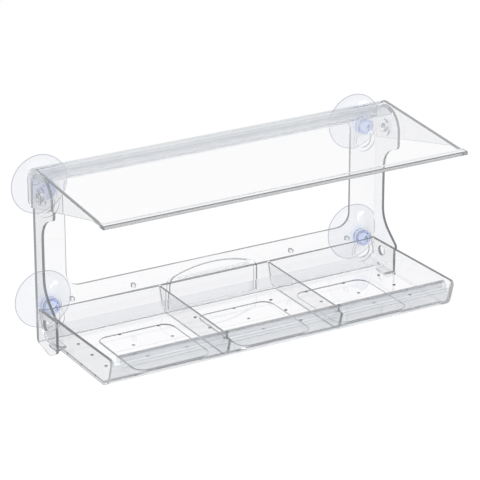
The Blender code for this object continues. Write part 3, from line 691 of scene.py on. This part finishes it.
# %% [markdown]
# ## Light that gets caught, ended with a painted glow
# A ray that is caught inside a wall would be given up as black. Real plastic scatters it out
# again; here, past a few inner reflections, the ray ends in a painted glow of an even grey, which
# stands in for that light and gives the cut edges their tone: darkest on the dividers, palest on
# the thick tray. A ray that has crossed very many layers ends in a pale painted glow instead. The
# Light Path node counts both kinds of bounces. On the faces marked for painted light, both glows
# are pale.

# %% Helpers that end long paths
# Colours of the painted glow that ends long paths.
MOST_LAYERS = 7
MOST_REFLECTIONS = 2
PAINTED_GLOW_THROUGH_LAYERS = "#eeeeef"
PAINTED_GLOW_ON_PALE_BENDS = "#f2f2f3"


def marked(tree, mark, plain, code):
    """A colour that changes on the faces that carry a mark."""
    found = node(tree, "ShaderNodeAttribute", attribute_name=mark)
    choice = node(tree, "ShaderNodeMix", {0: found.outputs["Fac"]}, None, data_type="RGBA")
    choice.inputs["A"].default_value = linear(plain)
    choice.inputs["B"].default_value = linear(code)
    return choice.outputs["Result"]


def end_path(tree, before, depth, most, plain):
    """Past a number of bounces of one kind, the ray ends in a painted glow of an even colour."""
    late = node(tree, "ShaderNodeMath", {0: depth}, {1: most}, operation="GREATER_THAN")
    even = node(tree, "ShaderNodeEmission",
                {"Color": marked(tree, "painted_light_bend", plain, PAINTED_GLOW_ON_PALE_BENDS)}, {"Strength": 1.0})
    ended = node(tree, "ShaderNodeMixShader", {"Fac": late.outputs["Value"]})
    tree.links.new(before, ended.inputs[1])
    tree.links.new(even.outputs["Emission"], ended.inputs[2])
    return ended


def end_long_paths(tree, body, path, caught):
    """A pale painted glow ends light through many layers, and a grey one ends light caught inside.
    """
    layers = end_path(tree, body.outputs["BSDF"], path.outputs["Ray Depth"], MOST_LAYERS,
                      PAINTED_GLOW_THROUGH_LAYERS)
    return end_path(tree, layers.outputs["Shader"], path.outputs["Glossy Depth"],
                    MOST_REFLECTIONS, caught)


# %% [markdown]
# ## Light that goes straight through
# A shadow ray passes through a clear sheet nearly straight, so the shader turns into a faintly
# tinted Transparent for shadow rays. Without that, the feeder would stand in its own dark
# shadow. On the faces marked for painted light, most of the other light goes straight through in
# the same way, which paints those bends pale.

# %% A helper for shadow rays and pale bends
# The share of light at a painted-light bend that passes straight, which keeps the bend pale.
BEND_CLEAR = 0.86


def pass_straight(tree, surface, path, tint):
    """Shadow rays go straight through the plastic, and so does most light on a painted-light bend.
    """
    see_through = node(tree, "ShaderNodeBsdfTransparent", None, {"Color": linear(tint)})
    bend = node(tree, "ShaderNodeAttribute", attribute_name="painted_light_bend")
    part = node(tree, "ShaderNodeMath", {0: bend.outputs["Fac"]}, {1: BEND_CLEAR},
                operation="MULTIPLY")
    straight = node(tree, "ShaderNodeMath",
                    {0: path.outputs["Is Shadow Ray"], 1: part.outputs["Value"]},
                    operation="MAXIMUM")
    mixed = node(tree, "ShaderNodeMixShader", {"Fac": straight.outputs["Value"]})
    tree.links.new(surface.outputs["Shader"], mixed.inputs[1])
    tree.links.new(see_through.outputs["BSDF"], mixed.inputs[2])
    return mixed


# %% [markdown]
# ## The mix for each moulding
# Principled with full transmission makes the body of the plastic. Its colour is nearly white,
# and darker on the faces marked for painted shade. The helpers above go round it, and
# absorption fills the volume between the walls' two faces.

# %% A helper that mixes an acrylic
ACRYLIC_IOR = 1.49
ACRYLIC_TINT = "#fdfdfe"
ACRYLIC_DEPTHS = "#8f9498"
ACRYLIC_SHADOW = "#f5f6f7"
SCUFF_SIZE = 9


# caught is the colour of the painted glow for caught light, and bend the painted shade on marks.
def clear_plastic(name, caught, density=3.2, wave_mm=34, wave_depth=0.02, flow_depth=0.006,
                  rough=0.015, bend="#8e9092", edge_radius=EDGE_RADIUS):
    """Clear moulded plastic with waves, scuffs, absorption, painted shade and a painted glow."""
    material, tree = empty_material(name)
    place = node(tree, "ShaderNodeTexCoord")
    centred = node(tree, "ShaderNodeMapping", {"Vector": place.outputs["Object"]},
                   {"Location": (0.013, 0.027, 0.005)})
    bump = moulded_faces(tree, centred.outputs["Vector"], wave_mm, wave_depth, flow_depth,
                         edge_radius)
    scuff = node(tree, "ShaderNodeTexNoise", {"Vector": centred.outputs["Vector"]},
                 {"Scale": 1 / (SCUFF_SIZE * MM), "Detail": 4.0, "Roughness": 0.6})
    spread = node(tree, "ShaderNodeMapRange", {"Value": scuff.outputs["Fac"]},
                  {"From Min": 0.35, "From Max": 0.75, "To Min": rough * 0.6, "To Max": rough * 1.4})
    # The base colour is darker with painted shade where a face carries the mark.
    body = node(tree, "ShaderNodeBsdfPrincipled",
                {"Base Color": marked(tree, "painted_shade_bend", ACRYLIC_TINT, bend),
                 "Normal": bump.outputs["Normal"], "Roughness": spread.outputs["Result"]},
                {"IOR": ACRYLIC_IOR, "Transmission Weight": 1.0, "Metallic": 0.0})
    path = node(tree, "ShaderNodeLightPath")
    mixed = pass_straight(tree, end_long_paths(tree, body, path, caught), path, ACRYLIC_SHADOW)
    inside = node(tree, "ShaderNodeVolumeAbsorption", None,
                  {"Color": linear(ACRYLIC_DEPTHS), "Density": density})
    node(tree, "ShaderNodeOutputMaterial",
         {"Surface": mixed.outputs["Shader"], "Volume": inside.outputs["Volume"]})
    return material


# %% [markdown]
# ## Six acrylics
# The mouldings differ in size and in wall thickness, so each kind has its own painted glow for
# caught light, its own waves and its own painted shade on the marked faces. The dividers have real
# roundings on their edges, so the Bevel node has nothing to soften there, and its radius is 0.

# %% Mix the acrylics
# The second value of each is its painted glow, and bend its painted shade.
ACRYLIC = {
    "frame": clear_plastic("frame acrylic", "#9c9ea0", bend="#a2a4a6"),
    "latch": clear_plastic("latch acrylic", "#a8aaac", wave_mm=22),
    "roof": clear_plastic("roof acrylic", "#9c9ea0", density=2.4, wave_mm=60, flow_depth=0.004,
                          rough=0.01, bend="#d0d2d4"),
    "tray": clear_plastic("tray acrylic", "#bebfc1", wave_mm=28, wave_depth=0.025,
                          flow_depth=0.005, bend="#4c4e50"),
    "divider": clear_plastic("divider acrylic", "#8a8c8e", wave_mm=18, flow_depth=0.004,
                             edge_radius=0.0, bend="#5a5c5e"),
    "pin": clear_plastic("pin acrylic", "#a0a2a4", density=5, wave_mm=6, wave_depth=0.01,
                         flow_depth=0.002, rough=0.03),
}
print("acrylics mixed:", len(ACRYLIC))

# %% [markdown]
# ## Soft clear vinyl
# The cups are plasticised PVC, cast clear and slightly blue. The disc is thin, so it looks
# colourless, and the thick hub gathers the blue. The disc's edge, which is seen along its skin,
# draws a thin grey line, which is painted shade in the tint. A distance from the cup's axis drives
# the tint: the two coordinates across the pane are folded by Absolute, so one material fits all
# four cups.

# %% A helper that tints the vinyl from hub to edge
# The last step, a darker grey at the disc's edge, is painted shade.
CUP_TINTS_AND_EDGE_SHADE = ((0.0, "#cdd7f6"), (0.2, "#d0daf6"), (0.3, "#eaeffa"), (0.42, "#f6f7fa"),
             (0.96, "#f6f7fa"), (1.0, "#a2a7ba"))


def set_ramp(ramp, steps):
    """Fills a colour ramp from pairs of a position and a colour."""
    (first, first_code), *between, (last, last_code) = steps
    ramp.elements[0].position = first
    ramp.elements[0].color = linear(first_code)
    ramp.elements[1].position = last
    ramp.elements[1].color = linear(last_code)
    for position, code in between:
        ramp.elements.new(position).color = linear(code)


def cup_tint(tree, place):
    """The vinyl's colour, with painted shade at the disc's edge, by the distance from the cup's
    axis.
    """
    split = node(tree, "ShaderNodeSeparateXYZ", {"Vector": place})
    across = node(tree, "ShaderNodeMath", {0: split.outputs["X"]}, operation="ABSOLUTE")
    upright = node(tree, "ShaderNodeMath", {0: split.outputs["Z"]}, operation="ABSOLUTE")
    folded = node(tree, "ShaderNodeCombineXYZ",
                  {"X": across.outputs["Value"], "Y": upright.outputs["Value"]})
    reach = node(tree, "ShaderNodeVectorMath", {0: folded.outputs["Vector"]},
                 {1: (CUP_X, CUP_Z, 0)}, operation="DISTANCE")
    share = node(tree, "ShaderNodeMapRange", {"Value": reach.outputs["Value"]},
                 {"From Min": 0.0, "From Max": DISC_RADIUS * MM, "To Min": 0.0, "To Max": 1.0})
    tint = node(tree, "ShaderNodeValToRGB", {"Fac": share.outputs["Result"]})
    set_ramp(tint.color_ramp, CUP_TINTS_AND_EDGE_SHADE)
    return tint.outputs["Color"]


# %% [markdown]
# ## The vinyl's surface
# The mix is like the acrylic's, with a higher roughness and a fine grain, because vinyl is softer
# and duller. Its index is set to 1.4, a little lower than real vinyl has, which keeps the curved
# skin as clear as the picture shows it. It has no absorption, since the tint does that work.

# %% Mix the vinyl
VINYL_IOR = 1.4
# The colour of the vinyl's painted glow for caught light.
VINYL_CAUGHT = "#b3bad6"
VINYL_SHADOW = "#f4f6fb"
VINYL_GRAIN = 7


def cup_vinyl(name):
    """Clear vinyl that is tinted by the distance from the cup's axis."""
    material, tree = empty_material(name)
    place = node(tree, "ShaderNodeTexCoord")
    grain = node(tree, "ShaderNodeTexNoise", {"Vector": place.outputs["Object"]},
                 {"Scale": 1 / (VINYL_GRAIN * MM), "Detail": 2.0, "Roughness": 0.5})
    bump = node(tree, "ShaderNodeBump", {"Height": grain.outputs["Fac"]},
                {"Strength": 1.0, "Distance": 0.02 * MM})
    spread = node(tree, "ShaderNodeMapRange", {"Value": grain.outputs["Fac"]},
                  {"From Min": 0.3, "From Max": 0.7, "To Min": 0.03, "To Max": 0.07})
    body = node(tree, "ShaderNodeBsdfPrincipled",
                {"Base Color": cup_tint(tree, place.outputs["Object"]),
                 "Normal": bump.outputs["Normal"], "Roughness": spread.outputs["Result"]},
                {"IOR": VINYL_IOR, "Transmission Weight": 1.0, "Metallic": 0.0})
    path = node(tree, "ShaderNodeLightPath")
    mixed = pass_straight(tree, end_long_paths(tree, body, path, VINYL_CAUGHT), path, VINYL_SHADOW)
    node(tree, "ShaderNodeOutputMaterial", {"Surface": mixed.outputs["Shader"]})
    return material


VINYL = cup_vinyl("cup vinyl")
print("vinyl mixed:", VINYL.name)

# %% [markdown]
# ## Put each finish on its piece
# Each new piece takes its finish, stands in for its model piece, and rides on that piece's body,
# so that it tilts or slides with it. The model's own pieces get the same finish underneath.

# %% Dress the pieces
LOOKS = {
    "back_frame": (back_frame, "frame", ACRYLIC["frame"]),
    "tray_latch": (tray_latch, "latch", ACRYLIC["latch"]),
    "hinge_pin_left": (pins["left"], "frame", ACRYLIC["pin"]),
    "hinge_pin_right": (pins["right"], "frame", ACRYLIC["pin"]),
    "roof": (roof, "roof", ACRYLIC["roof"]),
    "seed_tray": (seed_tray, "tray", ACRYLIC["tray"]),
    "divider_left": (divider_left, "tray", ACRYLIC["divider"]),
    "divider_right": (divider_right, "tray", ACRYLIC["divider"]),
}
for name, cup in cups.items():
    LOOKS[name] = (cup, name.replace("suction_", ""), VINYL)
for name, (piece, body, finish) in LOOKS.items():
    piece.data.materials.append(finish)
    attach(piece, body)
    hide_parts(name)
    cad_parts[name].data.materials.clear()
    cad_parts[name].data.materials.append(finish)
print("pieces dressed:", len(LOOKS))

# %% [markdown]
# ## The white room
# Clear plastic has no colour of its own: it shows what lies behind and beside it. A photographer
# puts a bright sweep behind it and keeps the sides darker, so that faces stay white and edges
# draw grey. Here the light path does that from every side. A ray that comes straight from the
# camera, or only passes through walls, sees white paper and a white room. A ray that was
# reflected on its way, as happens in an edge, sees the darker sides of the studio. Both the floor
# and the world use this one rule.

# %% A helper that tells clear views from reflected ones
def clear_view(tree, path):
    """1 for rays that see the background directly or through walls, 0 for reflected ones."""
    unreflected = node(tree, "ShaderNodeMath", {0: path.outputs["Glossy Depth"]}, {1: 0.5},
                       operation="LESS_THAN")
    through = node(tree, "ShaderNodeMath", {0: path.outputs["Is Transmission Ray"],
                                            1: unreflected.outputs["Value"]},
                   operation="MULTIPLY")
    both = node(tree, "ShaderNodeMath", {0: path.outputs["Is Camera Ray"],
                                         1: through.outputs["Value"]}, operation="MAXIMUM")
    return both.outputs["Value"]


# %% [markdown]
# ## The floor
# The floor is a plain pale sheet of paper, some way below the hanging feeder. It needs no
# thickness and no edge in view, so one large face is enough.

# %% Lay the floor
FLOOR_Z = -0.34
FLOOR_HALF = 6.0

floor_mesh = bpy.data.meshes.new("floor")
work = bmesh.new()
bmesh.ops.create_grid(work, x_segments=1, y_segments=1, size=FLOOR_HALF)
work.to_mesh(floor_mesh)
work.free()
floor = bpy.data.objects.new("floor", floor_mesh)
bpy.context.scene.collection.objects.link(floor)
floor.location = (0, 0, FLOOR_Z)
print("floor at", FLOOR_Z)

# %% [markdown]
# ## The floor's paper
# Part of the paper glows for the rays that look at it, so that it is as white as the background,
# and the rest takes the feeder's faint shadow. For reflected rays the paper is a light grey,
# which varies a little from fibre to fibre.

# %% Mix the paper
FLOOR_GLOW = 0.75
FIBRE_WIDTH = 40 * MM
PAPER_SEEN = "#ffffff"
PAPER_REFLECTED = ("#b6b8ba", "#bcbec0")

floor_paper, tree = empty_material("floor paper")
path = node(tree, "ShaderNodeLightPath")
place = node(tree, "ShaderNodeTexCoord")
fibres = node(tree, "ShaderNodeTexNoise", {"Vector": place.outputs["Object"]},
              {"Scale": 1 / FIBRE_WIDTH, "Detail": 3.0, "Roughness": 0.6})
reflected = node(tree, "ShaderNodeMix", {0: fibres.outputs["Fac"]}, None, data_type="RGBA")
reflected.inputs["A"].default_value = linear(PAPER_REFLECTED[0])
reflected.inputs["B"].default_value = linear(PAPER_REFLECTED[1])
paper = node(tree, "ShaderNodeMix", {0: clear_view(tree, path), "A": reflected.outputs["Result"]},
             None, data_type="RGBA")
paper.inputs["B"].default_value = linear(PAPER_SEEN)
sheet = node(tree, "ShaderNodeBsdfDiffuse", {"Color": paper.outputs["Result"]})
glow = node(tree, "ShaderNodeEmission", {"Color": paper.outputs["Result"]}, {"Strength": 1.0})
sharp_ray = node(tree, "ShaderNodeMath", {0: path.outputs["Is Glossy Ray"],
                                          1: path.outputs["Is Transmission Ray"]},
                 operation="MAXIMUM")
seen = node(tree, "ShaderNodeMath", {0: sharp_ray.outputs["Value"],
                                     1: path.outputs["Is Camera Ray"]}, operation="MAXIMUM")
share = node(tree, "ShaderNodeMath", {0: seen.outputs["Value"]}, {1: FLOOR_GLOW},
             operation="MULTIPLY")
blend = node(tree, "ShaderNodeMixShader", {"Fac": share.outputs["Value"]})
tree.links.new(sheet.outputs["BSDF"], blend.inputs[1])
tree.links.new(glow.outputs["Emission"], blend.inputs[2])
node(tree, "ShaderNodeOutputMaterial", {"Surface": blend.outputs["Shader"]})
floor_mesh.materials.append(floor_paper)
print("share of the paper that glows:", FLOOR_GLOW)

# %% [markdown]
# ## The room round it
# Reflected rays, and the light on the floor, come from a room that is bright overhead and has a
# darker band round the horizon, so that upright edges get their grey. The tones run from straight
# below at 0 to straight overhead at 1, with the horizon in the middle.

# %% Set the world
ROOM_SEEN = "#ffffff"
ROOM_TONES = ((0.40, "#b4b6b8"), (0.49, "#acaeb0"), (0.56, "#b2b4b7"), (0.66, "#f4f4f5"),
              (1.0, "#ffffff"))

world = bpy.data.worlds.new("studio")
bpy.context.scene.world = world
world.use_nodes = True
tree = world.node_tree
tree.nodes.clear()
place = node(tree, "ShaderNodeTexCoord")
split = node(tree, "ShaderNodeSeparateXYZ", {"Vector": place.outputs["Generated"]})
height = node(tree, "ShaderNodeMapRange", {"Value": split.outputs["Z"]},
              {"From Min": -1.0, "From Max": 1.0, "To Min": 0.0, "To Max": 1.0})
room = node(tree, "ShaderNodeValToRGB", {"Fac": height.outputs["Result"]})
set_ramp(room.color_ramp, ROOM_TONES)
path = node(tree, "ShaderNodeLightPath")
shown = node(tree, "ShaderNodeMix", {0: clear_view(tree, path), "A": room.outputs["Color"]},
             None, data_type="RGBA")
shown.inputs["B"].default_value = linear(ROOM_SEEN)
back = node(tree, "ShaderNodeBackground", {"Color": shown.outputs["Result"]}, {"Strength": 1.0})
node(tree, "ShaderNodeOutputWorld", {"Surface": back.outputs["Background"]})
print("tones in the room:", len(ROOM_TONES))

# %% [markdown]
# ## Lamps
# A large soft lamp hangs overhead on the left, and a narrow one stands on the right. On clear
# plastic a lamp shows only as its reflection, so the large one lays broad pale sheens on the
# roof and the rolled rim.

# %% Hang the lamps
def area_lamp(name, place, aim, width, height, power):
    """A rectangular lamp that faces a point."""
    light = bpy.data.lights.new(name, "AREA")
    light.shape = "RECTANGLE"
    light.size = width
    light.size_y = height
    light.energy = power
    lamp = bpy.data.objects.new(name, light)
    bpy.context.scene.collection.objects.link(lamp)
    lamp.location = place
    lamp.rotation_euler = (Vector(aim) - Vector(place)).to_track_quat("-Z", "Y").to_euler()
    print(name, "at", place)


area_lamp("overhead lamp", (-0.7, -0.3, 1.5), (0, 0.1, 0), 1.2, 1.2, 9)
area_lamp("side lamp", (1.4, -0.9, 0.6), (0, -0.1, 0), 0.3, 1.0, 3)

# %% [markdown]
# ## The camera
# The camera was solved from the picture: the tray's rims, dividers and rows of drain holes give
# its direction, its distance and a long lens. It looks down by 22 degrees and stands 30 degrees
# to the left of the feeder's front.

# %% Place the camera
AZIMUTH = math.radians(-29.95)
ELEVATION = math.radians(22.01)
TARGET = Vector((0, -23 * MM, -58.3 * MM))
DISTANCE = 2579.1 * MM
SIDEWAYS = 25.75 * MM
UPWARDS = 30.73 * MM
LENS_MM = 199.8

back_way = Vector((math.sin(AZIMUTH) * math.cos(ELEVATION),
                   -math.cos(AZIMUTH) * math.cos(ELEVATION), math.sin(ELEVATION)))
right_way = Vector((math.cos(AZIMUTH), math.sin(AZIMUTH), 0))
up_way = back_way.cross(right_way)
eye = TARGET + back_way * DISTANCE + right_way * SIDEWAYS + up_way * UPWARDS
lens = bpy.data.cameras.new("camera")
lens.lens = LENS_MM
lens.sensor_width = 36
lens.clip_end = 50
camera = bpy.data.objects.new("camera", lens)
bpy.context.scene.collection.objects.link(camera)
turn = Matrix((right_way, up_way, back_way)).transposed()
camera.matrix_world = Matrix.Translation(eye) @ turn.to_4x4()
bpy.context.scene.camera = camera
bpy.context.scene.view_settings.view_transform = "Standard"
print("camera at", tuple(round(value, 3) for value in eye))
